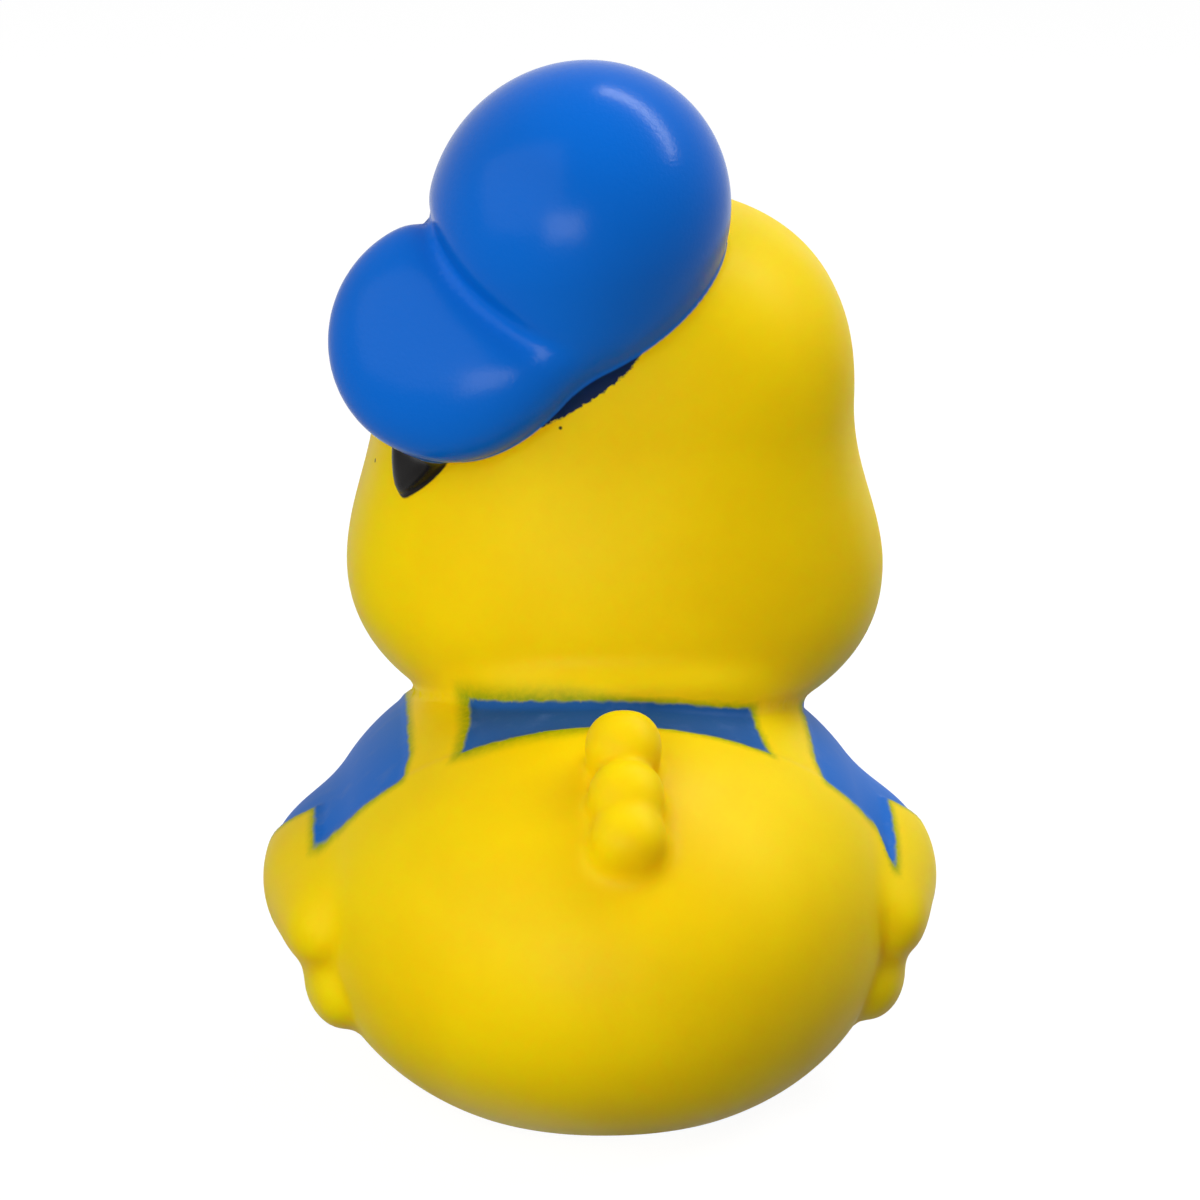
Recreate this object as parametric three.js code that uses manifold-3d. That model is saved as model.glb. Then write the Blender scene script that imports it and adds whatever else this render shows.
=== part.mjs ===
// Rubber duck with a tilted cap, a shirt and dungarees: one hollow vinyl moulding, modelled as one solid.
// Millimetres, +Z up, the duck faces +Y, and the origin is the middle of its flat base.
// Each form is a rounded ellipsoid with its real size. The forms melt together with fillets, the joined
// skin is meshed finely where it curves tightly, and a flat base is trimmed off.
import * as THREE from "three";
import { mergeVertices } from "three/addons/utils/BufferGeometryUtils.js";
import Module from "manifold-3d";

// Body
const BODY_WIDTH = 50;
const BODY_LENGTH = 66;
const BODY_HEIGHT = 38.8;
const BODY_SQUARENESS = 2.12;
const BASE_FLAT_WIDTH = 31;

// Head: a broad skull that flares into round cheeks
const SKULL_WIDTH = 40.6;
const SKULL_DEPTH = 36;
const SKULL_HEIGHT = 35;
const SKULL_SQUARENESS = 2.6;
const CHEEK_WIDTH = 46.2;
const CHEEK_DEPTH = 38;
const CHEEK_HEIGHT = 30.2;
const CHEEK_SQUARENESS = 2.15;
const CHEEK_FLARE = 5.5;
const SKULL_ABOVE_CHEEKS = 14.6;
const HEAD_ABOVE_BODY = 6.4;
const HEAD_FORWARD = 10;
const HEAD_SIDESTEP = 1.8;
const HEAD_TILT = 2;

// Neck: a low round collar between the head and the body
const NECK_WIDTH = 32.8;
const NECK_DEPTH = 37.8;
const NECK_HEIGHT = 10;
const NECK_SQUARENESS = 2.5;
const NECK_BACK = 1;
const NECK_SINK = 0.6;
const COLLAR_FILLET = 0.8;
const NECK_FILLET = 1.4;

// Wings: a broad shoulder and two small feathers along each flank, sunk into the body's side
const SHOULDER_WIDTH = 13;
const SHOULDER_LENGTH = 25;
const SHOULDER_HEIGHT = 14;
const SHOULDER_SINK = 2.7;
const SHOULDER_RISE = 0.7;
const FEATHER_WIDTH = 7;
const FEATHER_LENGTH = 12.5;
const FEATHER_HEIGHT = 8.6;
const FEATHER_BACK = 8;
const FEATHER_SINK = 1.2;
const FEATHER_STEP_IN = 1.9;
const FEATHER_STEP_DOWN = 5.3;
const FEATHER_DROP = 0;
const FEATHERS_PER_WING = 2;
const FEATHER_FILLET = 2;
const WING_FILLET = 2.4;

// Tail: round lobes in a row up the rump, from the lowest to the tip
const TAIL_LOBE_WIDTH = 6.2;
const TAIL_LOBE_LENGTH = 5.8;
const TAIL_LOBE_HEIGHT = 6.6;
const TAIL_LOBE_SQUARENESS = 2.3;
const TAIL_SLOPE = 40;
const TAIL_LOBE_PROUD = 1.2;
const TAIL_LOBE_ANGLES = [36, 43.5, 52.5];
const TAIL_LOBE_LIFTS = [0, 0.6, 1.5];
const TAIL_SIDESTEP = 0.8;
const TAIL_LOBE_FILLET = 1;
const TAIL_FILLET = 1.6;

// Cap: a puffy crown and a thick visor, worn sideways and sliding off to the back left
const CROWN_WIDTH = 24.6;
const CROWN_DEPTH = 24.6;
const CROWN_HEIGHT = 26.2;
const CROWN_LEFT = 3.6;
const CROWN_BACK = 10.5;
const CROWN_ABOVE_SKULL = 17.6;
const CROWN_TILT = 40;
const BAND_LENGTH = 23;
const BAND_DEPTH = 15;
const BAND_HEIGHT = 8.6;
const BAND_LEFT = 3;
const BAND_BACK = 1;
const BAND_DROP = 10.8;
const BAND_TILT = -32;
const BAND_FILLET = 5;
const VISOR_LENGTH = 20.2;
const VISOR_WIDTH = 20.2;
const VISOR_THICKNESS = 10;
const VISOR_LEFT = 11.1;
const VISOR_BACK = 3;
const VISOR_DROP = 9.6;
const VISOR_YAW = -18;
const VISOR_PITCH = -20;
const CROWN_FILLET = 0.8;
const CAP_FILLET = 0.8;

// Lock of hair under the visor: strands that fan out from one tip
const LOCK_STRANDS = 3;
const LOCK_LEAN = 10;
const LOCK_FAN = 18;
const LOCK_TIP_LEFT = 18.5;
const LOCK_TIP_BACK = 11.1;
const LOCK_TIP_DROP = 5.5;
const LOCK_YAW = 40;
const STRAND_WIDTH = 2.6;
const STRAND_DEPTH = 2.4;
const STRAND_LENGTH = 10;
const STRAND_FILLET = 0.5;
const LOCK_FILLET = 0.4;

// Face
const BILL_WIDTH = 19;
const BILL_LENGTH = 26;
const BILL_THICKNESS = 6.4;
const BILL_DROP = 8.6;
const BILL_GAPE = 2.6;
const BILL_OPENING = 4;
const BILL_UNDERBITE = 1.6;
const BILL_FILLET = 1.2;
const BILL_LIP_FILLET = 0.6;
const EYE_WIDTH = 6.4;
const EYE_HEIGHT = 9;
const EYE_DEPTH = 3;
const EYE_SPACING = 17;
const EYE_RISE = 1;
const EYE_TURN = 16;
const EYE_FILLET = 0.4;

// Clothes: a blue shirt under yellow dungarees, whose straps run over the shoulders
const YOKE_WIDTH = 53;
const YOKE_LENGTH = 43.2;
const YOKE_SQUARENESS = 3.4;
const YOKE_FORWARD = 7.6;
const YOKE_LOWEST = 3;
const STRAP_WIDTH = 5.2;
const STRAP_SPACING_AT_NECK = 29;
const STRAP_SPREAD = 0.2;
const STRAP_SIDESTEP = 0.6;
const SHIRT_UP_WING = 0.5;
const SLEEVE_HEM_ABOVE = 5.4;
const SLEEVE_SLANT = 0.9;

// Meshing
const NET_STEP = 2.7;
const NET_MARGIN = 4;
const SKIN_TOLERANCE = 0.085;
const SHORTEST_EDGE = 0.6;
const REFINE_PASSES = 3;
const RELAX_SWEEPS = 3;
const SETTLE_STEPS = 6;
const BORDER_STEPS = 10;
const PROBE = 0.01;

// Colours of the vinyl and its paints
const VINYL = { color: 0xf2d400, roughness: 0.45, metalness: 0 };
const CAP_BLUE = { color: 0x0867d2, roughness: 0.35, metalness: 0 };
const SHIRT_BLUE = { color: 0x3a70c8, roughness: 0.55, metalness: 0 };
const BLACK = { color: 0x14110f, roughness: 0.25, metalness: 0 };
const BILL_ORANGE = { color: 0xf08a12, roughness: 0.4, metalness: 0 };
const PAINTS = [VINYL, CAP_BLUE, SHIRT_BLUE, BLACK, BILL_ORANGE];

const wasm = await Module();
wasm.setup();

// Places worked out from the sizes
const baseShare = BASE_FLAT_WIDTH / BODY_WIDTH;
const baseDrop = (BODY_HEIGHT / 2) * (1 - baseShare ** BODY_SQUARENESS) ** (1 / BODY_SQUARENESS);
const bodyCentre = new THREE.Vector3(0, 0, baseDrop);
const bodyTop = bodyCentre.z + BODY_HEIGHT / 2;
const cheekCentre = new THREE.Vector3(HEAD_SIDESTEP, HEAD_FORWARD, bodyTop + HEAD_ABOVE_BODY);
const skullCentre = cheekCentre.clone().add(new THREE.Vector3(0, 0, SKULL_ABOVE_CHEEKS));
const crownCentre = skullCentre.clone().add(new THREE.Vector3(-CROWN_LEFT, -CROWN_BACK, CROWN_ABOVE_SKULL));
const bandCentre = crownCentre.clone().add(new THREE.Vector3(-BAND_LEFT, -BAND_BACK, -BAND_DROP));
const visorCentre = crownCentre.clone().add(new THREE.Vector3(-VISOR_LEFT, -VISOR_BACK, -VISOR_DROP));
const billCentre = skullCentre.clone().add(new THREE.Vector3(0, SKULL_DEPTH / 2, -BILL_DROP));

const eulerOf = (turn) => new THREE.Euler(...turn.map(THREE.MathUtils.degToRad), "ZYX");

// A rounded ellipsoid as a field: the distance from its skin, negative inside. Its power is 2 for a true
// ellipsoid and more for a squarer one. Its turns about X, Y and Z are in degrees.
function roundForm(centre, width, length, height, { power = 2, turn = [0, 0, 0] } = {}) {
  const radii = new THREE.Vector3(width / 2, length / 2, height / 2);
  const toLocal = new THREE.Matrix4()
    .makeRotationFromEuler(eulerOf(turn))
    .setPosition(centre)
    .invert();
  const local = new THREE.Vector3();
  return (point) => {
    local.copy(point).applyMatrix4(toLocal).divide(radii);
    const [x, y, z] = local.toArray().map(Math.abs);
    const reach = (x ** power + y ** power + z ** power) ** (1 / power);
    if (reach < 1e-6) return -Math.min(radii.x, radii.y, radii.z);
    const slope = Math.hypot(
      x ** (power - 1) / radii.x,
      y ** (power - 1) / radii.y,
      z ** (power - 1) / radii.z,
    );
    return ((reach - 1) * reach ** (power - 1)) / slope;
  };
}

// Joins fields with a fillet of about that radius in the valleys between them.
function melt(fillet, ...fields) {
  const smoothMin = (a, b) => {
    const overlap = Math.max(fillet - Math.abs(a - b), 0) / fillet;
    return Math.min(a, b) - (overlap ** 2 * fillet) / 4;
  };
  return (point) => fields.map((field) => field(point)).reduce(smoothMin);
}

// The same field on both sides of the duck's middle.
function paired(field) {
  const folded = new THREE.Vector3();
  return (point) => field(folded.set(Math.abs(point.x), point.y, point.z));
}

// How far a point lies inside the shirt's visible patches, seen from above: within the yoke and off the
// straps.
function insideShirt(point) {
  const across = (2 * Math.abs(point.x)) / YOKE_WIDTH;
  const along = (2 * Math.abs(point.y - YOKE_FORWARD)) / YOKE_LENGTH;
  const reach = (across ** YOKE_SQUARENESS + along ** YOKE_SQUARENESS) ** (1 / YOKE_SQUARENESS);
  const insideYoke = ((1 - reach) * YOKE_LENGTH) / 2;
  const pastHead = Math.max(Math.abs(point.y - HEAD_FORWARD) - CHEEK_DEPTH / 2, 0);
  const strapOut = STRAP_SPACING_AT_NECK / 2 + STRAP_SPREAD * pastHead;
  const offStrap = Math.abs(Math.abs(point.x - STRAP_SIDESTEP) - strapOut) - STRAP_WIDTH / 2;
  return Math.min(insideYoke, offStrap, point.z - bodyCentre.z - YOKE_LOWEST);
}

function makeBody() {
  return roundForm(bodyCentre, BODY_WIDTH, BODY_LENGTH, BODY_HEIGHT, { power: BODY_SQUARENESS });
}

function makeWings() {
  const flank = BODY_WIDTH / 2;
  const shoulderCentre = bodyCentre.clone().add(new THREE.Vector3(flank - SHOULDER_SINK, 0, SHOULDER_RISE));
  const shoulder = roundForm(shoulderCentre, SHOULDER_WIDTH, SHOULDER_LENGTH, SHOULDER_HEIGHT);
  const feathers = Array.from({ length: FEATHERS_PER_WING }, (_, row) => {
    const out = flank - FEATHER_SINK - row * FEATHER_STEP_IN;
    const drop = FEATHER_DROP + row * FEATHER_STEP_DOWN;
    const centre = bodyCentre.clone().add(new THREE.Vector3(out, -FEATHER_BACK, -drop));
    return roundForm(centre, FEATHER_WIDTH, FEATHER_LENGTH, FEATHER_HEIGHT);
  });
  return paired(melt(FEATHER_FILLET, shoulder, ...feathers));
}

function makeTail() {
  const lobes = TAIL_LOBE_ANGLES.map((degrees, row) => {
    const angle = THREE.MathUtils.degToRad(degrees);
    const back = (BODY_LENGTH / 2 + TAIL_LOBE_PROUD) * Math.cos(angle);
    const rise = (BODY_HEIGHT / 2 + TAIL_LOBE_PROUD) * Math.sin(angle) + TAIL_LOBE_LIFTS[row];
    const centre = bodyCentre.clone().add(new THREE.Vector3(TAIL_SIDESTEP, -back, rise));
    return roundForm(centre, TAIL_LOBE_WIDTH, TAIL_LOBE_LENGTH, TAIL_LOBE_HEIGHT, {
      power: TAIL_LOBE_SQUARENESS,
      turn: [TAIL_SLOPE, 0, 0],
    });
  });
  return melt(TAIL_LOBE_FILLET, ...lobes);
}

function makeHead() {
  const skull = roundForm(skullCentre, SKULL_WIDTH, SKULL_DEPTH, SKULL_HEIGHT, {
    power: SKULL_SQUARENESS,
    turn: [0, HEAD_TILT, 0],
  });
  const cheeks = roundForm(cheekCentre, CHEEK_WIDTH, CHEEK_DEPTH, CHEEK_HEIGHT, {
    power: CHEEK_SQUARENESS,
    turn: [0, HEAD_TILT, 0],
  });
  return melt(CHEEK_FLARE, skull, cheeks);
}

function makeNeck() {
  const centre = new THREE.Vector3(cheekCentre.x, cheekCentre.y - NECK_BACK, bodyTop - NECK_SINK);
  return roundForm(centre, NECK_WIDTH, NECK_DEPTH, NECK_HEIGHT, { power: NECK_SQUARENESS });
}

function makeCap() {
  const crown = roundForm(crownCentre, CROWN_WIDTH, CROWN_DEPTH, CROWN_HEIGHT, { turn: [0, CROWN_TILT, 0] });
  const band = roundForm(bandCentre, BAND_LENGTH, BAND_DEPTH, BAND_HEIGHT, { turn: [0, BAND_TILT, 0] });
  const visor = roundForm(visorCentre, VISOR_WIDTH, VISOR_THICKNESS, VISOR_LENGTH, {
    turn: [VISOR_PITCH, 0, VISOR_YAW],
  });
  return melt(CROWN_FILLET, melt(BAND_FILLET, crown, band), melt(BAND_FILLET, band, visor));
}

function makeLock() {
  const tip = skullCentre.clone().add(new THREE.Vector3(-LOCK_TIP_LEFT, -LOCK_TIP_BACK, -LOCK_TIP_DROP));
  const strands = Array.from({ length: LOCK_STRANDS }, (_, n) => {
    const turn = [LOCK_LEAN + n * LOCK_FAN, 0, LOCK_YAW];
    const toMiddle = new THREE.Vector3(0, 0, STRAND_LENGTH / 2).applyEuler(eulerOf(turn));
    return roundForm(tip.clone().add(toMiddle), STRAND_DEPTH, STRAND_WIDTH, STRAND_LENGTH, { turn });
  });
  return melt(STRAND_FILLET, ...strands);
}

function makeBill() {
  const lips = [1, -1].map((side) => {
    const lift = new THREE.Vector3(0, side > 0 ? 0 : -BILL_UNDERBITE, (side * BILL_GAPE) / 2);
    const centre = billCentre.clone().add(lift);
    return roundForm(centre, BILL_WIDTH, BILL_LENGTH, BILL_THICKNESS, { turn: [side * BILL_OPENING, 0, 0] });
  });
  return melt(BILL_LIP_FILLET, ...lips);
}

function makeEyes() {
  const eyes = [1, -1].map((side) => {
    const out = (side * EYE_SPACING) / 2;
    const share = Math.abs(EYE_SPACING / SKULL_WIDTH) ** SKULL_SQUARENESS;
    const forward = (SKULL_DEPTH / 2) * (1 - share) ** (1 / SKULL_SQUARENESS);
    const centre = skullCentre.clone().add(new THREE.Vector3(out, forward, EYE_RISE));
    return roundForm(centre, EYE_WIDTH, EYE_DEPTH, EYE_HEIGHT, { turn: [0, 0, -side * EYE_TURN] });
  });
  return (point) => Math.min(...eyes.map((eye) => eye(point)));
}

const forms = {
  body: makeBody(),
  wings: makeWings(),
  tail: makeTail(),
  neck: makeNeck(),
  head: makeHead(),
  cap: makeCap(),
  lock: makeLock(),
  bill: makeBill(),
  eyes: makeEyes(),
};

// The whole skin, joined from the largest forms to the smallest.
const joins = [
  ["wings", WING_FILLET],
  ["tail", TAIL_FILLET],
  ["neck", COLLAR_FILLET],
  ["head", NECK_FILLET],
  ["bill", BILL_FILLET],
  ["eyes", EYE_FILLET],
  ["lock", LOCK_FILLET],
  ["cap", CAP_FILLET],
];
const skin = joins.reduce((joined, [name, fillet]) => melt(fillet, joined, forms[name]), forms.body);

// The box that holds every form, with room round it for the net.
function netBox() {
  const halfWidth = Math.max(BODY_WIDTH / 2 + SHOULDER_WIDTH, CHEEK_WIDTH / 2 + HEAD_SIDESTEP);
  const left = Math.max(halfWidth, VISOR_LENGTH - visorCentre.x);
  const back = BODY_LENGTH / 2 + TAIL_LOBE_HEIGHT;
  const front = Math.max(BODY_LENGTH / 2, billCentre.y + BILL_LENGTH / 2, cheekCentre.y + CHEEK_DEPTH / 2);
  const top = Math.max(crownCentre.z + CROWN_HEIGHT / 2, skullCentre.z + SKULL_HEIGHT / 2);
  const low = new THREE.Vector3(-left, -back, bodyCentre.z - BODY_HEIGHT / 2);
  const high = new THREE.Vector3(halfWidth, front, top);
  return new THREE.Box3(low, high).expandByScalar(NET_MARGIN);
}

function gradient(point) {
  const probe = new THREE.Vector3();
  const slopes = ["x", "y", "z"].map((axis) => {
    const ahead = probe.copy(point);
    ahead[axis] += PROBE;
    const after = skin(ahead);
    ahead[axis] -= 2 * PROBE;
    return (after - skin(ahead)) / (2 * PROBE);
  });
  return new THREE.Vector3(...slopes);
}

// Moves a point onto the skin, down the field's slope.
function settle(point) {
  for (let step = 0; step < SETTLE_STEPS; step++) {
    const slope = gradient(point);
    const distance = skin(point) / Math.max(slope.lengthSq(), 0.1);
    point.addScaledVector(slope, -distance);
    if (Math.abs(distance) < PROBE / 10) break;
  }
  return point;
}

// A net over the skin: one point in each grid cell that it passes through, joined across each grid edge
// that it crosses.
function castNet(box) {
  const size = box.getSize(new THREE.Vector3());
  const count = size.toArray().map((length) => Math.ceil(length / NET_STEP) + 1);
  const cornerAt = (i, j, k) => new THREE.Vector3(i, j, k).multiplyScalar(NET_STEP).add(box.min);
  const indexOf = ([i, j, k]) => i + count[0] * (j + count[1] * k);
  const heights = new Float32Array(count[0] * count[1] * count[2]);
  const eachCell = (visit) => {
    for (let k = 0; k < count[2] - 1; k++)
      for (let j = 0; j < count[1] - 1; j++)
        for (let i = 0; i < count[0] - 1; i++) visit([i, j, k]);
  };
  for (let k = 0; k < count[2]; k++)
    for (let j = 0; j < count[1]; j++)
      for (let i = 0; i < count[0]; i++) heights[indexOf([i, j, k])] = skin(cornerAt(i, j, k));

  const points = [];
  const pointOfCell = new Map();
  eachCell((cell) => {
    const corners = [0, 1, 2, 3, 4, 5, 6, 7].map((n) => cell.map((c, axis) => c + ((n >> axis) & 1)));
    const inside = corners.filter((corner) => heights[indexOf(corner)] < 0);
    if (inside.length === 0 || inside.length === corners.length) return;
    const middle = cornerAt(...cell).addScalar(NET_STEP / 2);
    pointOfCell.set(indexOf(cell), points.push(settle(middle)) - 1);
  });

  const faces = [];
  eachCell((cell) => {
    [0, 1, 2].forEach((axis) => {
      const next = cell.map((c, n) => c + (n === axis ? 1 : 0));
      const startsInside = heights[indexOf(cell)] < 0;
      if (startsInside === heights[indexOf(next)] < 0) return;
      const [b, c] = [(axis + 1) % 3, (axis + 2) % 3];
      const around = [[-1, -1], [0, -1], [0, 0], [-1, 0]].map(([db, dc]) => {
        const neighbour = cell.slice();
        neighbour[b] += db;
        neighbour[c] += dc;
        return pointOfCell.get(indexOf(neighbour));
      });
      const [p, q, r, s] = startsInside ? around : around.reverse();
      const straight = points[p].distanceTo(points[r]) < points[q].distanceTo(points[s]);
      faces.push(...(straight ? [[p, q, r], [p, r, s]] : [[p, q, s], [q, r, s]]));
    });
  });
  return { points, faces };
}

const edgesOf = ([a, b, c]) => [[a, b], [b, c], [c, a]];
const edgeKey = ([a, b]) => (a < b ? `${a} ${b}` : `${b} ${a}`);

// Splits the edges whose middle lies off the skin, and with them each face's longest edge, which keeps the
// triangles well shaped.
function refine({ points, faces }) {
  const lengthOf = ([a, b]) => points[a].distanceTo(points[b]);
  const middleOf = ([a, b]) => points[a].clone().lerp(points[b], 0.5);
  const longer = (one, other) => (lengthOf(other) > lengthOf(one) ? other : one);
  const longestOf = (face) => edgesOf(face).reduce(longer);
  const seen = new Set();
  const split = new Map();
  faces.flatMap(edgesOf).forEach((edge) => {
    const key = edgeKey(edge);
    if (seen.has(key)) return;
    seen.add(key);
    const strays = Math.abs(skin(middleOf(edge))) > SKIN_TOLERANCE;
    if (strays && lengthOf(edge) > 2 * SHORTEST_EDGE) split.set(key, edge);
  });
  for (let grew = true; grew; ) {
    grew = false;
    faces.forEach((face) => {
      const longest = longestOf(face);
      if (split.has(edgeKey(longest)) || !edgesOf(face).some((edge) => split.has(edgeKey(edge)))) return;
      split.set(edgeKey(longest), longest);
      grew = true;
    });
  }
  const middles = new Map();
  split.forEach((edge, key) => middles.set(key, points.push(settle(middleOf(edge))) - 1));
  const cut = faces.flatMap((face) => cutFace(face, middles, points));
  return { points, faces: cut };
}

// One face cut at those of its edges that have a middle point.
function cutFace(face, middles, points) {
  const found = edgesOf(face).map((edge) => middles.get(edgeKey(edge)));
  const marked = found.filter((middle) => middle !== undefined).length;
  if (marked === 0) return [face];
  const whole = found.indexOf(undefined);
  const turn = marked === 1 ? found.findIndex((middle) => middle !== undefined) : (whole + 1) % 3;
  const [a, b, c] = [0, 1, 2].map((n) => face[(n + turn) % 3]);
  const [ab, bc, ca] = [0, 1, 2].map((n) => found[(n + turn) % 3]);
  if (marked === 1) return [[a, ab, c], [ab, b, c]];
  if (marked === 3) return [[ab, b, bc], [bc, c, ca], [ca, a, ab], [ab, bc, ca]];
  const toCorner = points[ab].distanceTo(points[c]) < points[a].distanceTo(points[bc]);
  const rest = toCorner ? [[a, ab, c], [ab, bc, c]] : [[a, ab, bc], [a, bc, c]];
  return [[ab, b, bc], ...rest];
}

// Evens out the triangles by drawing each point towards its neighbours and back onto the skin.
function relax({ points, faces }) {
  const sums = points.map(() => new THREE.Vector3());
  const counts = points.map(() => 0);
  faces.flatMap(edgesOf).forEach(([a, b]) => {
    sums[a].add(points[b]);
    counts[a] += 1;
  });
  points.forEach((point, n) => settle(point.lerp(sums[n].divideScalar(counts[n]), 0.5)));
}

// Draws the nearer end of each edge that crosses a paint's border onto that border, so that the border runs
// cleanly along edges.
function followBorders({ points, faces }) {
  const paints = points.map(paintAt);
  const moves = new Map();
  faces.flatMap(edgesOf).forEach(([a, b]) => {
    if (a > b || paints[a] === paints[b]) return;
    let [near, far] = [0, 1];
    for (let step = 0; step < BORDER_STEPS; step++) {
      const middle = (near + far) / 2;
      const crossed = paintAt(points[a].clone().lerp(points[b], middle)) !== paints[a];
      [near, far] = crossed ? [near, middle] : [middle, far];
    }
    const border = points[a].clone().lerp(points[b], far);
    const end = far < 0.5 ? a : b;
    const gap = border.distanceTo(points[end]);
    if (!moves.has(end) || gap < moves.get(end).gap) moves.set(end, { border, gap });
  });
  moves.forEach(({ border }, n) => settle(points[n].copy(border)));
}

function meshSkin() {
  let net = castNet(netBox());
  for (let pass = 0; pass < REFINE_PASSES; pass++) {
    for (let sweep = 0; sweep < RELAX_SWEEPS; sweep++) relax(net);
    net = refine(net);
  }
  followBorders(net);
  const positions = net.points.flatMap((point) => point.toArray());
  const geometry = new THREE.BufferGeometry();
  geometry.setAttribute("position", new THREE.Float32BufferAttribute(positions, 3));
  geometry.setIndex(net.faces.flat());
  return geometry;
}

function toSolid(geometry) {
  const bare = geometry.clone();
  bare.deleteAttribute("normal");
  bare.deleteAttribute("uv");
  const merged = mergeVertices(bare);
  const vertProperties = new Float32Array(merged.attributes.position.array);
  const triVerts = new Uint32Array(merged.index.array);
  return new wasm.Manifold(new wasm.Mesh({ numProp: 3, vertProperties, triVerts }));
}

// Trims everything below the base plane.
function trimBase(geometry) {
  const block = new THREE.BoxGeometry(2 * BODY_WIDTH, 2 * BODY_LENGTH, BODY_HEIGHT);
  block.translate(0, 0, -BODY_HEIGHT / 2);
  const { vertProperties, triVerts } = toSolid(geometry).subtract(toSolid(block)).getMesh();
  const trimmed = new THREE.BufferGeometry();
  trimmed.setAttribute("position", new THREE.BufferAttribute(vertProperties, 3));
  trimmed.setIndex(new THREE.BufferAttribute(triVerts, 1));
  return trimmed;
}

// The paint on the skin at a point, which follows the form that the point lies on.
function paintAt(point) {
  const [nearest] = Object.keys(forms).sort((a, b) => forms[a](point) - forms[b](point));
  if (nearest === "cap") return CAP_BLUE;
  if (nearest === "lock" || nearest === "eyes") return BLACK;
  if (nearest === "bill") return BILL_ORANGE;
  if (nearest !== "body" && nearest !== "wings") return VINYL;
  const upWing = forms.body(point) - forms.wings(point);
  const aboveHem = point.z - bodyCentre.z - SLEEVE_HEM_ABOVE + SLEEVE_SLANT * point.y;
  const inShirt = upWing > SHIRT_UP_WING ? aboveHem : insideShirt(point);
  return inShirt > 0 ? SHIRT_BLUE : VINYL;
}

// Sorts the faces by paint, so that each paint is one group of the mesh.
function paintSkin(geometry) {
  const position = geometry.getAttribute("position");
  const corner = (n) => new THREE.Vector3().fromBufferAttribute(position, geometry.index.getX(n));
  const sorted = PAINTS.map(() => []);
  for (let n = 0; n < geometry.index.count; n += 3) {
    const middle = corner(n).add(corner(n + 1)).add(corner(n + 2)).divideScalar(3);
    sorted[PAINTS.indexOf(paintAt(middle))].push(...[0, 1, 2].map((m) => geometry.index.getX(n + m)));
  }
  geometry.setIndex(sorted.flat());
  let start = 0;
  sorted.forEach((indices, n) => {
    geometry.addGroup(start, indices.length, n);
    start += indices.length;
  });
  geometry.computeVertexNormals();
  return geometry;
}

const duck = new THREE.Mesh(
  paintSkin(trimBase(meshSkin())),
  PAINTS.map((paint) => new THREE.MeshStandardMaterial(paint)),
);
duck.name = "duck";

const part = new THREE.Group();
part.name = "rubber_duck";
part.add(duck);

export default part;
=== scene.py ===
"""A painted vinyl bath duck with a sideways cap, built around its solid and shown on a pale stage."""

import math
from collections import namedtuple

import bmesh
import bpy
import numpy as np
from bpy.props import FloatProperty, FloatVectorProperty, IntProperty, PointerProperty
from mathutils import Euler, Matrix, Vector


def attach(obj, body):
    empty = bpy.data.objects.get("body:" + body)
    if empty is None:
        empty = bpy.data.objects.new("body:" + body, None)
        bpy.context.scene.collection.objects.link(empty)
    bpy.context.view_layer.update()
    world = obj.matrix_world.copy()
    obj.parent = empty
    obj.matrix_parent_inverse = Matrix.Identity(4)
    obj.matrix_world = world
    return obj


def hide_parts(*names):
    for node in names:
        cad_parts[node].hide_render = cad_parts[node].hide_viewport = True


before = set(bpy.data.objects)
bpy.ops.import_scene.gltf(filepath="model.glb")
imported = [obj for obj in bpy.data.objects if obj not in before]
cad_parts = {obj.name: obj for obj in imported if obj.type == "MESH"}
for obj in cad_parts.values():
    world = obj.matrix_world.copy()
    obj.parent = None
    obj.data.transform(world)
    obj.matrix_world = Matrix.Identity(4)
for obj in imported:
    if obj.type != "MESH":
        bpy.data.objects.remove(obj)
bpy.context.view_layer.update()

bl_info = {
    "name": "Rubber Duck",
    "version": (1, 0, 0),
    "blender": (4, 5, 0),
    "location": "3D View > Sidebar > Duck",
    "description": "Moulds and paints a vinyl bath duck around its solid, and sets a stage for it",
    "category": "Add Mesh",
}

MM = 0.001
NODE = "duck"

# A rounded form of the skin: its centre and full size in millimetres, its turns about X, Y and Z in degrees,
# and its power, 2 for an ellipsoid and more for a squarer shape. Fillets are in millimetres too.
Form = namedtuple("Form", "centre size turn power", defaults=((0, 0, 0), 2))

BODY_FORM = Form((0, 0, 15.68), (50, 66, 38.8), power=2.12)
WING_FORMS = (
    Form((22.3, 0, 16.38), (13, 25, 14)),
    Form((23.8, -8, 15.68), (7, 14, 8.6)),
    Form((21.9, -8, 10.38), (7, 14, 8.6)),
)
WING_FILLET = 1.4
WING_ROOT_FILLET = 1
WING_TOP_FILLET = 3
WING_TOP_HEIGHTS = (14, 20)
TAIL_FORMS = (
    Form((0.8, -27.67, 27.79), (6.2, 5.8, 6.6), (40, 0, 0), 2.3),
    Form((0.8, -24.81, 30.46), (6.2, 5.8, 6.6), (40, 0, 0), 2.3),
    Form((0.8, -20.82, 33.53), (6.2, 5.8, 6.6), (40, 0, 0), 2.3),
)
TAIL_FILLET = 1
TAIL_ROOT_FILLET = 1.6
NECK_FORM = Form((1.8, 9, 34.48), (32.8, 37.8, 10), power=2.5)
NECK_FILLET = 0.8
CHEEK_FORM = Form((1.8, 10, 41.48), (46.2, 38, 30.2), (0, 2, 0), 2.15)
CHEEK_FLARE = 5.5
SKULL_FORM = Form((1.8, 10, 56.08), (40.6, 36, 35), (0, 2, 0), 2.6)
HEAD_FILLET = 1.4
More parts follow.
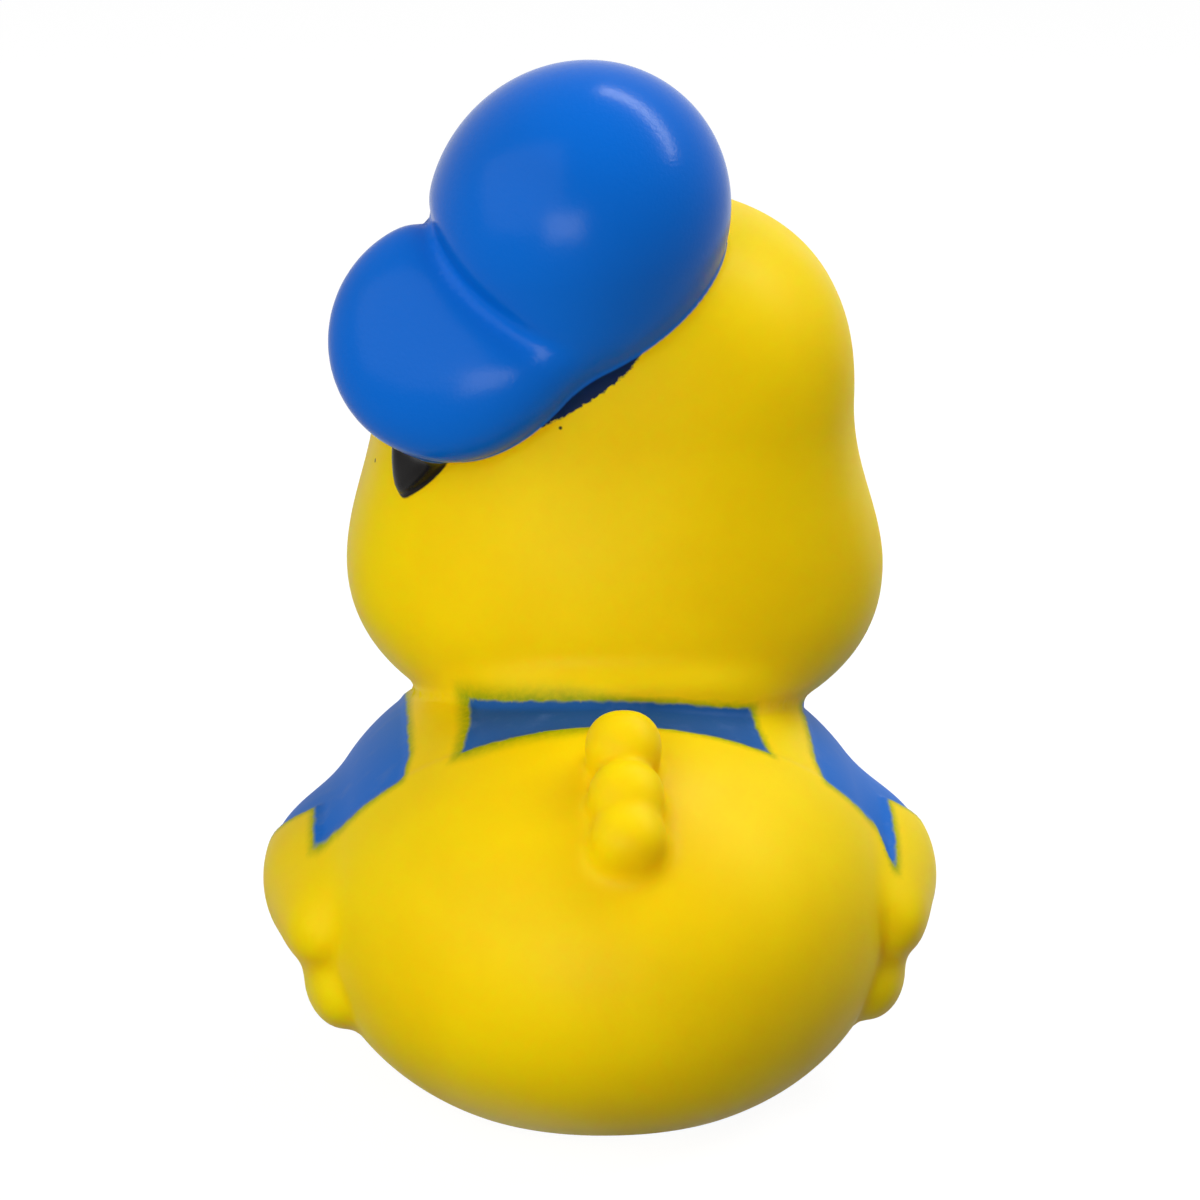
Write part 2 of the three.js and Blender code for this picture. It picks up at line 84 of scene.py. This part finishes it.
CROWN_FORM = Form((-1.8, -0.5, 73.68), (24.6, 24.6, 26.2), (0, 40, 0))
BAND_FORM = Form((-4.8, -1.5, 62.88), (23, 15, 8.6), (0, -32, 0))
VISOR_FORM = Form((-12.9, -3.5, 64.08), (20.2, 10, 20.2), (-20, 0, -18))
BAND_FILLET = 5
CROWN_FILLET = 0.8
CREASE_DEPTH = 0.45
CREASE_WIDTH = 1.3
CREASE_OFF_BAND = (-1, 1.5)
CAP_FILLET = 0.8
LOCK_FORMS = (
    Form((-16.14, -1.77, 55.5), (2.4, 2.6, 10), (10, 0, 40)),
    Form((-15.19, -2.9, 55.0), (2.4, 2.6, 10), (28, 0, 40)),
    Form((-14.39, -3.86, 54.05), (2.4, 2.6, 10), (46, 0, 40)),
)
LOCK_FILLET = 0.5
LOCK_ROOT_FILLET = 0.4
BILL_FORMS = (
    Form((1.8, 28, 48.78), (19, 26, 6.4), (4, 0, 0)),
    Form((1.8, 26.4, 46.18), (19, 26, 6.4), (-4, 0, 0)),
)
BILL_FILLET = 0.6
BILL_ROOT_FILLET = 1.2
EYE_FORMS = (
    Form((10.3, 27.26, 57.08), (6.4, 3, 9), (0, 0, -16)),
    Form((-6.7, 27.26, 57.08), (6.4, 3, 9), (0, 0, 16)),
)
EYE_FILLET = 0.4

BASE_ROUNDING = 0.6

# How the fine mesh settles on the smooth skin: its passes, the step that feels for the slope in millimetres,
# and the least square of a slope that is followed
SETTLE_STEPS = 3
PROBE = 0.01
LEAST_SLOPE = 0.1

# Vertices of the solid this near each other are one, in metres
MERGE_DISTANCE = 0.001 * MM

# The shirt seen from above: a squarish yoke with two straps over it and a sleeve on each wing, in millimetres
YOKE_HALF_WIDTH = 26.5
YOKE_HALF_LENGTH = 21.6
YOKE_FORWARD = 7.6
YOKE_POWER = 3.4
YOKE_LOWEST = 18.7
STRAP_HALF_WIDTH = 2.6
STRAP_AT_NECK = 14.5
STRAP_SPREAD = 0.2
STRAP_SIDESTEP = 0.6
NECK_FORWARD = 10
NECK_HALF_LENGTH = 19
SHIRT_UP_WING = 0.5
SLEEVE_HEM = 21.1
SLEEVE_SLANT = 0.9
SLEEVE_OVERLAP = 1.2
WEDGE_RIGHT = 2.2
WEDGE_LEFT = 0.6
WEDGE_FROM_WING = 2.5
SHIRT_STEP_WIDTH = 0.6

# The mist of blue paint beyond the shirt's edges, wider on the left of the middle panel, in millimetres
HAZE_WIDTH = 0.8
HAZE_FADE = (-0.2, 1)
HAZE_EXTRA = 1.6
HAZE_EXTRA_LEFT = (3, -4)
HAZE_EXTRA_PANEL = (15, 11)

# The paint that strays onto the head below the cap's rim, in millimetres; its dark blue is partly real paint
# and partly painted shadow of the rim
STRAY_MIDDLE = (-1.2, -7.8, 60.5)
STRAY_REACH = 10
STRAY_WIDTH = 1

# Where the shirt is darkened with painted shade under the head, and how far each paint runs past its form, in
# millimetres
UNDER_HEAD_HEIGHTS = (27, 35)
UNDER_HEAD_SIDES = (14, 17)
CAP_PAINT_OVER = 0.15
BLACK_PAINT_OVER = 0.3
BILL_PAINT_OVER = 0.4

# How soft each paint's edge is, and how far the edge wanders, in millimetres
EDGE_SOFTNESS = {
    "cap_edge": 0.06,
    "stray_edge": 0.1,
    "shirt_edge": 0.2,
    "black_edge": 0.08,
    "bill_edge": 0.12,
}
SHIRT_WANDER = 0.5
STRAY_WANDER = 0.5

# The grain of each unevenness: its noise's scale per metre and its detail
SHIRT_EDGE_GRAIN = (900, 3)
STRAY_EDGE_GRAIN = (2200, 2)
MIST_GRAIN = (1800, 3)
PATCH_GRAIN = (60, 3)
WORN_GRAIN = (400, 4)
SHEEN_GRAIN = (90, 4)
SKIN_GRAIN = (3200, 2)
SPECK_SCALE = 140
SPECK_RADIUS = 0.035

# Paint flaws and the finish of the vinyl and its paints, with lengths in metres
MIST_COLOUR = (0.15, 0.42, 1)
WORN_COLOUR = (0.1, 0.2, 0.5)
SPECK_COLOUR = (0.03, 0.02, 0.01)
VINYL_ROUGHNESS = (0.45, 0.55)
SHIRT_ROUGHNESS = 0.5
CAP_ROUGHNESS = 0.22
BLACK_ROUGHNESS = 0.25
SPECULAR_LEVEL = 0.08
SUBSURFACE_WEIGHT = 0.6
SUBSURFACE_RADIUS = (1, 0.4, 0.02)
SUBSURFACE_SCALE = 7 * MM
BUMP_HEIGHT = 0.04 * MM
BUMP_STRENGTH = 0.2
CAP_BUMP_STRENGTH = 0.4

# The stage: the floor, its grey and the glow that shows it white, the backdrop as a light and as it is seen,
# the nearest that the camera sees and the point that the lamps face, with lengths in metres
FLOOR_HALF_WIDTH = 3
FLOOR_DROP = 0.05 * MM
FLOOR_GREY = 0.15
FLOOR_GLOW = 0.94
BACKDROP_LIGHT = 0.1
BACKDROP_SEEN = 1
NEAREST_VIEW = 0.01
LAMP_AIM = (0, 0, 0.045)


class SkinSettings(bpy.types.PropertyGroup):
    """Sizes of the moulded skin's fine surface."""

    detail: FloatProperty(
        name="Detail", description="Width of the skin's faces", default=0.48 * MM, unit="LENGTH", precision=5)
    smoothing: IntProperty(
        name="Smoothing", description="Passes that even the skin out", default=8, min=0)
    shirt_depth: FloatProperty(
        name="Shirt Depth", description="How far the shirt lies below the dungarees", default=0.35 * MM,
        unit="LENGTH", precision=5)


class PaintSettings(bpy.types.PropertyGroup):
    """Colours of the vinyl and its paints, with a painted shade for the shirt under the head and a painted
    shadow for the cap paint that strays below its rim.
    """

    vinyl: FloatVectorProperty(
        name="Vinyl", description="Body colour", subtype="COLOR", default=(0.92, 0.66, 0.001))
    vinyl_shade: FloatVectorProperty(
        name="Vinyl Shade", description="Deeper patches of the body colour", subtype="COLOR",
        default=(0.88, 0.6, 0.001))
    cap: FloatVectorProperty(
        name="Cap", description="Gloss blue of the cap", subtype="COLOR", default=(0.001, 0.13, 0.6))
    # Cap paint that strays below the rim: real paint, darkened as a painted shadow of the rim
    stray_in_shadow: FloatVectorProperty(
        name="Stray", description="Thin cap paint below the rim", subtype="COLOR",
        default=(0.002, 0.014, 0.06))
    shirt: FloatVectorProperty(
        name="Shirt", description="Flatter blue of the shirt", subtype="COLOR", default=(0.012, 0.14, 0.56))
    # Painted shade: a darker blue for the shirt where the head shades it
    shirt_shade: FloatVectorProperty(
        name="Shirt Shade", description="Thinner blue under the head", subtype="COLOR",
        default=(0.012, 0.08, 0.26))
    black: FloatVectorProperty(
        name="Black", description="Eyes and hair", subtype="COLOR", default=(0.008, 0.007, 0.007))
    bill: FloatVectorProperty(
        name="Bill", description="Orange of the bill", subtype="COLOR", default=(0.84, 0.22, 0.01))


class StageSettings(bpy.types.PropertyGroup):
    """The camera's place."""

    azimuth: FloatProperty(
        name="Azimuth", description="Turn of the camera round the duck", default=math.radians(-3),
        subtype="ANGLE")
    elevation: FloatProperty(
        name="Elevation", description="Height of the camera above the horizon", default=math.radians(15),
        subtype="ANGLE")
    distance: FloatProperty(
        name="Distance", description="From the camera to the duck", default=450 * MM, unit="LENGTH")
    field: FloatProperty(
        name="Field", description="Width of the picture at the duck", default=101.4 * MM, unit="LENGTH")
    aim_height: FloatProperty(
        name="Aim Height", description="Height that the camera looks at", default=40.5 * MM, unit="LENGTH")


def form_distance(points, form):
    """Distance of each point from a form's surface in millimetres, negative inside."""
    turn = np.array(Euler([math.radians(angle) for angle in form.turn], "XYZ").to_matrix())
    half = np.array(form.size) / 2
    local = np.abs((points - np.array(form.centre)) @ turn) / half
    reach = np.maximum((local ** form.power).sum(1) ** (1 / form.power), 1e-6)
    slope = np.linalg.norm(local ** (form.power - 1) / half, axis=1)
    return (reach - 1) * reach ** (form.power - 1) / np.maximum(slope, 1e-6)


def melt(fillet, *fields):
    """Distance from forms that melt together with a fillet in the valleys between them."""
    melted = fields[0]
    for other in fields[1:]:
        overlap = np.maximum(fillet - np.abs(melted - other), 0) / fillet
        melted = np.minimum(melted, other) - overlap**2 * fillet / 4
    return melted


def smoothstep(low, high, values):
    """0 up to the low value, 1 from the high value on, and a smooth rise between."""
    share = np.clip((values - low) / (high - low), 0, 1)
    return share * share * (3 - 2 * share)


def form_distances(points, forms):
    """Each form's distances, in the forms' order."""
    return [form_distance(points, form) for form in forms]


def wing_distance(points):
    """Distance from the wing on a point's own side: the two mirror each other."""
    folded = np.abs(points) * (1, 0, 0) + points * (0, 1, 1)
    return melt(WING_FILLET, *form_distances(folded, WING_FORMS))


def head_distance(points):
    """Distance from the head, whose cheeks flare out of its skull."""
    return melt(CHEEK_FLARE, *form_distances(points, (SKULL_FORM, CHEEK_FORM)))


def cap_distance(points):
    """Distance from the cap, with a groove where its visor meets its crown."""
    crown, band, visor = form_distances(points, (CROWN_FORM, BAND_FORM, VISOR_FORM))
    cap = melt(CROWN_FILLET, melt(BAND_FILLET, crown, band), melt(BAND_FILLET, band, visor))
    off_band = smoothstep(*CREASE_OFF_BAND, band - np.minimum(crown, visor))
    return cap + CREASE_DEPTH * off_band * np.exp(-(((crown - visor) / CREASE_WIDTH) ** 2))


def skin_distance(points):
    """Distance from the duck's whole smooth skin in millimetres, with its flat base."""
    skin = form_distance(points, BODY_FORM)
    up_wing = smoothstep(*WING_TOP_HEIGHTS, points[:, 2])
    for fillet, form in (
        (WING_ROOT_FILLET + (WING_TOP_FILLET - WING_ROOT_FILLET) * up_wing, wing_distance(points)),
        (TAIL_ROOT_FILLET, melt(TAIL_FILLET, *form_distances(points, TAIL_FORMS))),
        (NECK_FILLET, form_distance(points, NECK_FORM)),
        (HEAD_FILLET, head_distance(points)),
        (BILL_ROOT_FILLET, melt(BILL_FILLET, *form_distances(points, BILL_FORMS))),
        (EYE_FILLET, np.minimum(*form_distances(points, EYE_FORMS))),
        (LOCK_ROOT_FILLET, melt(LOCK_FILLET, *form_distances(points, LOCK_FORMS))),
        (CAP_FILLET, cap_distance(points)),
    ):
        skin = melt(fillet, skin, form)
    return -melt(BASE_ROUNDING, -skin, points[:, 2])


def settled(points):
    """Points moved onto the smooth skin, down the slope of its distance."""
    for _ in range(SETTLE_STEPS):
        distance = skin_distance(points)
        slope = np.stack([(skin_distance(points + step) - distance) / PROBE for step in np.eye(3) * PROBE], 1)
        points = points - slope * (distance / np.maximum((slope**2).sum(1), LEAST_SLOPE))[:, None]
    return points


def clothes_distances(points):
    """Distances out of the shirt, and out of the shirt and its straps together, negative inside."""
    x, y, z = points.T
    across, along = np.abs(x) / YOKE_HALF_WIDTH, np.abs(y - YOKE_FORWARD) / YOKE_HALF_LENGTH
    reach = (across**YOKE_POWER + along**YOKE_POWER) ** (1 / YOKE_POWER)
    strap = STRAP_AT_NECK + STRAP_SPREAD * np.maximum(np.abs(y - NECK_FORWARD) - NECK_HALF_LENGTH, 0)
    on_strap = STRAP_HALF_WIDTH - np.abs(np.abs(x - STRAP_SIDESTEP) - strap)
    body, wings = form_distance(points, BODY_FORM), wing_distance(points)
    up_wing = body - wings - SHIRT_UP_WING
    below_hem = (SLEEVE_HEM - z - SLEEVE_SLANT * y) / math.hypot(1, SLEEVE_SLANT)
    sleeves = np.maximum(below_hem, -up_wing - SLEEVE_OVERLAP)
    head = np.minimum(form_distance(points, NECK_FORM), head_distance(points))
    on_head = np.minimum(body, wings) - head
    wedge = np.where(x > 0, WEDGE_RIGHT, WEDGE_LEFT) * smoothstep(-WEDGE_FROM_WING, 0, up_wing)
    yoke = np.maximum.reduce([(reach - 1) * YOKE_HALF_LENGTH - wedge, YOKE_LOWEST - z, up_wing])
    shirt = np.minimum(np.maximum(yoke, on_strap), sleeves)
    neckline = np.minimum(yoke, sleeves)
    return np.maximum(shirt, on_head), np.maximum(neckline, on_head)


def paint_distances(points):
    """Each paint's distance field over the skin, by attribute name."""
    x, z = np.abs(points[:, 0]), points[:, 2]
    shirt, neckline = clothes_distances(points)
    extra = smoothstep(*HAZE_EXTRA_LEFT, points[:, 0]) * smoothstep(*HAZE_EXTRA_PANEL, x)
    spread = HAZE_WIDTH * (1 + HAZE_EXTRA * extra)
    cap = cap_distance(points) - CAP_PAINT_OVER
    from_stray = np.linalg.norm(points - np.array(STRAY_MIDDLE), axis=1)
    black = melt(LOCK_FILLET, *form_distances(points, (*LOCK_FORMS, *EYE_FORMS)))
    return {
        "cap_edge": cap,
        "stray_edge": cap + STRAY_WIDTH - 2 * STRAY_WIDTH * smoothstep(STRAY_REACH, 0, from_stray),
        "shirt_edge": shirt,
        "neckline_edge": neckline,
        "haze": 1 - smoothstep(*HAZE_FADE, shirt / spread),
        # Mask of the painted shade on the shirt under the head
        "shade_under_head": smoothstep(*UNDER_HEAD_HEIGHTS, z) * (1 - smoothstep(*UNDER_HEAD_SIDES, x)),
        "black_edge": black - BLACK_PAINT_OVER,
        "bill_edge": melt(BILL_FILLET, *form_distances(points, BILL_FORMS)) - BILL_PAINT_OVER,
    }


def coordinates(mesh):
    """A mesh's vertices as rows of X, Y and Z."""
    flat = np.empty(3 * len(mesh.vertices))
    mesh.vertices.foreach_get("co", flat)
    return flat.reshape(-1, 3)


def fine_skin(settings):
    """The solid's surface as one fine even mesh, with its facets smoothed away."""
    shape = bmesh.new()
    shape.from_mesh(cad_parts[NODE].data)
    bmesh.ops.remove_doubles(shape, verts=shape.verts, dist=MERGE_DISTANCE)
    mesh = bpy.data.meshes.new("duck_skin")
    shape.to_mesh(mesh)
    shape.free()
    skin = bpy.data.objects.new("duck_skin", mesh)
    bpy.context.collection.objects.link(skin)
    remesh = skin.modifiers.new("Even Faces", "REMESH")
    remesh.mode = "VOXEL"
    remesh.voxel_size = settings.detail
    remesh.use_smooth_shade = True
    even = skin.modifiers.new("Even Skin", "SMOOTH")
    even.factor = 0.5
    even.iterations = settings.smoothing
    evaluated = skin.evaluated_get(bpy.context.evaluated_depsgraph_get())
    skin.modifiers.clear()
    skin.data = bpy.data.meshes.new_from_object(evaluated)
    skin.data.name = "duck_skin"
    return skin


class DUCK_OT_mould(bpy.types.Operator):
    """Mould the duck's skin over its solid, with the shirt set below the dungarees"""

    bl_idname = "duck.mould"
    bl_label = "Mould Duck"

    def execute(self, context):
        settings = context.scene.duck_skin
        skin = fine_skin(settings)
        mesh = skin.data
        points = settled(coordinates(mesh) / MM) * MM
        mesh.vertices.foreach_set("co", points.ravel())
        mesh.update()
        normals = np.empty(3 * len(mesh.vertices))
        mesh.vertices.foreach_get("normal", normals)
        paints = paint_distances(points / MM)
        below_shirt = smoothstep(0, SHIRT_STEP_WIDTH, -paints["shirt_edge"])
        below_neckline = smoothstep(0, SHIRT_STEP_WIDTH, -paints["neckline_edge"])
        sunk = (below_shirt + below_neckline) * settings.shirt_depth / 2
        points -= normals.reshape(-1, 3) * sunk[:, None]
        mesh.vertices.foreach_set("co", points.ravel())
        for name, distances in paints.items():
            mesh.attributes.new(name, "FLOAT", "POINT").data.foreach_set("value", distances)
        mesh.update()
        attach(skin, "root")
        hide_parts(NODE)
        return {"FINISHED"}


class Tree:
    """A material's node tree, with short calls for the nodes that a paint needs."""

    def __init__(self, name):
        self.material = bpy.data.materials.new(name)
        self.material.use_nodes = True
        self.nodes = self.material.node_tree.nodes
        self.links = self.material.node_tree.links
        self.shader = self.nodes["Principled BSDF"]
        self.place = self.nodes.new("ShaderNodeTexCoord").outputs["Object"]

    def put(self, socket, value):
        if isinstance(value, bpy.types.NodeSocket):
            self.links.new(value, socket)
        else:
            socket.default_value = value

    def attribute(self, name):
        node = self.nodes.new("ShaderNodeAttribute")
        node.attribute_name = name
        return node.outputs["Fac"]

    def math(self, operation, first, second=0.0):
        node = self.nodes.new("ShaderNodeMath")
        node.operation = operation
        self.put(node.inputs[0], first)
        self.put(node.inputs[1], second)
        return node.outputs["Value"]

    def noise(self, scale, detail):
        node = self.nodes.new("ShaderNodeTexNoise")
        self.links.new(self.place, node.inputs["Vector"])
        node.inputs["Scale"].default_value = scale
        node.inputs["Detail"].default_value = detail
        return node.outputs["Fac"]

    def specks(self, scale, radius):
        node = self.nodes.new("ShaderNodeTexVoronoi")
        self.links.new(self.place, node.inputs["Vector"])
        node.inputs["Scale"].default_value = scale
        return self.ramp(node.outputs["Distance"], radius, radius / 2)

    def ramp(self, value, low, high, start=0.0, end=1.0):
        node = self.nodes.new("ShaderNodeMapRange")
        node.interpolation_type = "SMOOTHSTEP"
        self.put(node.inputs["Value"], value)
        node.inputs["From Min"].default_value = low
        node.inputs["From Max"].default_value = high
        node.inputs["To Min"].default_value = start
        node.inputs["To Max"].default_value = end
        return node.outputs["Result"]

    def mix(self, factor, first, second, blend="MIX"):
        node = self.nodes.new("ShaderNodeMix")
        node.data_type = "RGBA"
        node.blend_type = blend
        self.put(node.inputs["Factor"], factor)
        for socket, colour in ((node.inputs["A"], first), (node.inputs["B"], second)):
            self.put(socket, colour if isinstance(colour, bpy.types.NodeSocket) else (*colour, 1))
        return node.outputs["Result"]

    def blend_value(self, factor, first, second):
        node = self.nodes.new("ShaderNodeMix")
        self.put(node.inputs["Factor"], factor)
        self.put(node.inputs["A"], first)
        self.put(node.inputs["B"], second)
        return node.outputs["Result"]


def painted_vinyl(colours):
    """Satin vinyl with sprayed paints, each bounded by its own distance field, with painted shade on the
    shirt under the head and painted shadow on the cap paint that strays below its rim.
    """
    tree = Tree("painted_vinyl")

    def wander(grain, reach):
        return tree.math("MULTIPLY", tree.math("SUBTRACT", tree.noise(*grain), 0.5), reach)

    def coverage(name, unevenness=0.0):
        softness = EDGE_SOFTNESS[name]
        return tree.ramp(tree.math("ADD", tree.attribute(name), unevenness), softness, -softness)

    cap = coverage("cap_edge")
    stray_in_shadow = coverage("stray_edge", wander(STRAY_EDGE_GRAIN, STRAY_WANDER))
    shirt = coverage("shirt_edge", wander(SHIRT_EDGE_GRAIN, SHIRT_WANDER))
    black = coverage("black_edge")
    bill = coverage("bill_edge")
    thinning = tree.ramp(tree.noise(*MIST_GRAIN), 0.2, 0.7, start=0.65, end=0.95)
    mist = tree.math("MULTIPLY", tree.attribute("haze"), thinning)

    patches = tree.ramp(tree.noise(*PATCH_GRAIN), 0.35, 0.7)
    vinyl = tree.mix(patches, tuple(colours.vinyl), tuple(colours.vinyl_shade))
    vinyl = tree.mix(tree.specks(SPECK_SCALE, SPECK_RADIUS), vinyl, SPECK_COLOUR)
    # Painted shade: the shirt turns to its darker blue under the head
    blue = tree.mix(tree.attribute("shade_under_head"), tuple(colours.shirt), tuple(colours.shirt_shade))
    blue = tree.mix(tree.ramp(tree.noise(*WORN_GRAIN), 0.5, 0.8, end=0.35), blue, WORN_COLOUR)
    colour = tree.mix(mist, vinyl, MIST_COLOUR, "MULTIPLY")
    colour = tree.mix(shirt, colour, blue)
    colour = tree.mix(bill, colour, tuple(colours.bill))
    # Cap paint that strays below the rim, its dark blue a painted shadow of the rim
    colour = tree.mix(stray_in_shadow, colour, tuple(colours.stray_in_shadow))
    colour = tree.mix(cap, colour, tuple(colours.cap))
    colour = tree.mix(black, colour, tuple(colours.black))
    tree.put(tree.shader.inputs["Base Color"], colour)

    rough = tree.ramp(tree.noise(*SHEEN_GRAIN), 0.3, 0.7, *VINYL_ROUGHNESS)
    rough = tree.blend_value(shirt, rough, SHIRT_ROUGHNESS)
    rough = tree.blend_value(cap, rough, CAP_ROUGHNESS)
    rough = tree.blend_value(black, rough, BLACK_ROUGHNESS)
    tree.put(tree.shader.inputs["Roughness"], rough)
    tree.shader.inputs["Specular IOR Level"].default_value = SPECULAR_LEVEL
    bare = tree.math("SUBTRACT", 1.0, tree.math("MAXIMUM", tree.math("MAXIMUM", cap, shirt), black))
    tree.put(tree.shader.inputs["Subsurface Weight"], tree.math("MULTIPLY", bare, SUBSURFACE_WEIGHT))
    tree.shader.inputs["Subsurface Radius"].default_value = SUBSURFACE_RADIUS
    tree.shader.inputs["Subsurface Scale"].default_value = SUBSURFACE_SCALE

    bump = tree.nodes.new("ShaderNodeBump")
    tree.put(bump.inputs["Strength"], tree.blend_value(cap, BUMP_STRENGTH, CAP_BUMP_STRENGTH))
    bump.inputs["Distance"].default_value = BUMP_HEIGHT
    tree.links.new(tree.noise(*SKIN_GRAIN), bump.inputs["Height"])
    tree.links.new(bump.outputs["Normal"], tree.shader.inputs["Normal"])
    return tree.material


class DUCK_OT_paint(bpy.types.Operator):
    """Paint the duck's skin"""

    bl_idname = "duck.paint"
    bl_label = "Paint Duck"

    def execute(self, context):
        skin = bpy.data.objects["duck_skin"]
        skin.data.materials.clear()
        skin.data.materials.append(painted_vinyl(context.scene.duck_paint))
        return {"FINISHED"}


def soft_lamp(name, place, size, power, along=(1, 0, 0)):
    """A rectangle of light that faces the duck, with its first side as near as can be to a direction."""
    lamp = bpy.data.lights.new(name, "AREA")
    lamp.shape = "RECTANGLE"
    lamp.size, lamp.size_y = size
    lamp.energy = power
    back = (Vector(place) - Vector(LAMP_AIM)).normalized()
    up = back.cross(Vector(along)).normalized()
    holder = bpy.data.objects.new(name, lamp)
    holder.matrix_world = Matrix((up.cross(back), up, back)).transposed().to_4x4()
    holder.location = place
    bpy.context.collection.objects.link(holder)


def seen_rays(nodes, links):
    """1 for rays from the camera and for those that mirror or see through to the backdrop, else 0."""
    path = nodes.new("ShaderNodeLightPath")
    seen = path.outputs["Is Camera Ray"]
    for name in ("Is Glossy Ray", "Is Transmission Ray"):
        either = nodes.new("ShaderNodeMath")
        either.operation = "MAXIMUM"
        links.new(seen, either.inputs[0])
        links.new(path.outputs[name], either.inputs[1])
        seen = either.outputs["Value"]
    return seen


def floor_material():
    """A pale floor that shows white, with the duck's shadow kept."""
    tree = Tree("pale_floor")
    tree.shader.inputs["Base Color"].default_value = (FLOOR_GREY, FLOOR_GREY, FLOOR_GREY, 1)
    tree.shader.inputs["Roughness"].default_value = 1
    tree.shader.inputs["Specular IOR Level"].default_value = 0
    tree.shader.inputs["Emission Color"].default_value = (1, 1, 1, 1)
    lift = tree.math("MULTIPLY", seen_rays(tree.nodes, tree.links), FLOOR_GLOW)
    tree.put(tree.shader.inputs["Emission Strength"], lift)
    return tree.material


def studio_world():
    """Even pale light all round, seen as white."""
    world = bpy.data.worlds.new("studio")
    world.use_nodes = True
    nodes, links = world.node_tree.nodes, world.node_tree.links
    strength = nodes.new("ShaderNodeMapRange")
    links.new(seen_rays(nodes, links), strength.inputs["Value"])
    strength.inputs["To Min"].default_value = BACKDROP_LIGHT
    strength.inputs["To Max"].default_value = BACKDROP_SEEN
    nodes["Background"].inputs["Color"].default_value = (1, 1, 1, 1)
    links.new(strength.outputs["Result"], nodes["Background"].inputs["Strength"])
    return world


class DUCK_OT_stage(bpy.types.Operator):
    """Set the floor, the lamps and the camera"""

    bl_idname = "duck.stage"
    bl_label = "Set Stage"

    def execute(self, context):
        stage = context.scene.duck_stage
        scene = context.scene
        scene.view_settings.view_transform = "Standard"
        scene.world = studio_world()

        ground = bmesh.new()
        bmesh.ops.create_grid(ground, x_segments=1, y_segments=1, size=FLOOR_HALF_WIDTH)
        mesh = bpy.data.meshes.new("floor")
        ground.to_mesh(mesh)
        ground.free()
        floor = bpy.data.objects.new("floor", mesh)
        floor.location.z = -FLOOR_DROP
        mesh.materials.append(floor_material())
        context.collection.objects.link(floor)

        soft_lamp("key", (-0.85, -0.65, 0.55), (1.4, 1.4), 10.5)
        soft_lamp("front", (-0.1, -0.42, 0.085), (0.2, 0.14), 0.78)
        soft_lamp("strip", (0.26, 0.085, 0.435), (0.5, 0.045), 2.15, along=(0.46, -0.29, -0.23))

        back = Vector((
            math.sin(stage.azimuth) * math.cos(stage.elevation),
            -math.cos(stage.azimuth) * math.cos(stage.elevation),
            math.sin(stage.elevation),
        ))
        lens = bpy.data.cameras.new("camera")
        lens.lens = lens.sensor_width * stage.distance / stage.field
        lens.clip_start = NEAREST_VIEW
        camera = bpy.data.objects.new("camera", lens)
        camera.location = Vector((0, 0, stage.aim_height)) + back * stage.distance
        camera.rotation_euler = (-back).to_track_quat("-Z", "Y").to_euler()
        context.collection.objects.link(camera)
        scene.camera = camera
        return {"FINISHED"}


class DUCK_PT_panel(bpy.types.Panel):
    """Buttons and sizes of the duck"""

    bl_idname = "DUCK_PT_panel"
    bl_label = "Rubber Duck"
    bl_space_type = "VIEW_3D"
    bl_region_type = "UI"
    bl_category = "Duck"

    def draw(self, context):
        for operator, settings in (
            (DUCK_OT_mould, context.scene.duck_skin),
            (DUCK_OT_paint, context.scene.duck_paint),
            (DUCK_OT_stage, context.scene.duck_stage),
        ):
            self.layout.operator(operator.bl_idname)
            for name in settings.__annotations__:
                self.layout.prop(settings, name)


SETTINGS = {"duck_skin": SkinSettings, "duck_paint": PaintSettings, "duck_stage": StageSettings}
CLASSES = (*SETTINGS.values(), DUCK_OT_mould, DUCK_OT_paint, DUCK_OT_stage, DUCK_PT_panel)


def register():
    for cls in CLASSES:
        bpy.utils.register_class(cls)
    for name, cls in SETTINGS.items():
        setattr(bpy.types.Scene, name, PointerProperty(type=cls))


def unregister():
    for name in SETTINGS:
        delattr(bpy.types.Scene, name)
    for cls in reversed(CLASSES):
        bpy.utils.unregister_class(cls)


def main():
    register()
    bpy.ops.duck.mould()
    bpy.ops.duck.paint()
    bpy.ops.duck.stage()


if __name__ == "__main__":
    main()
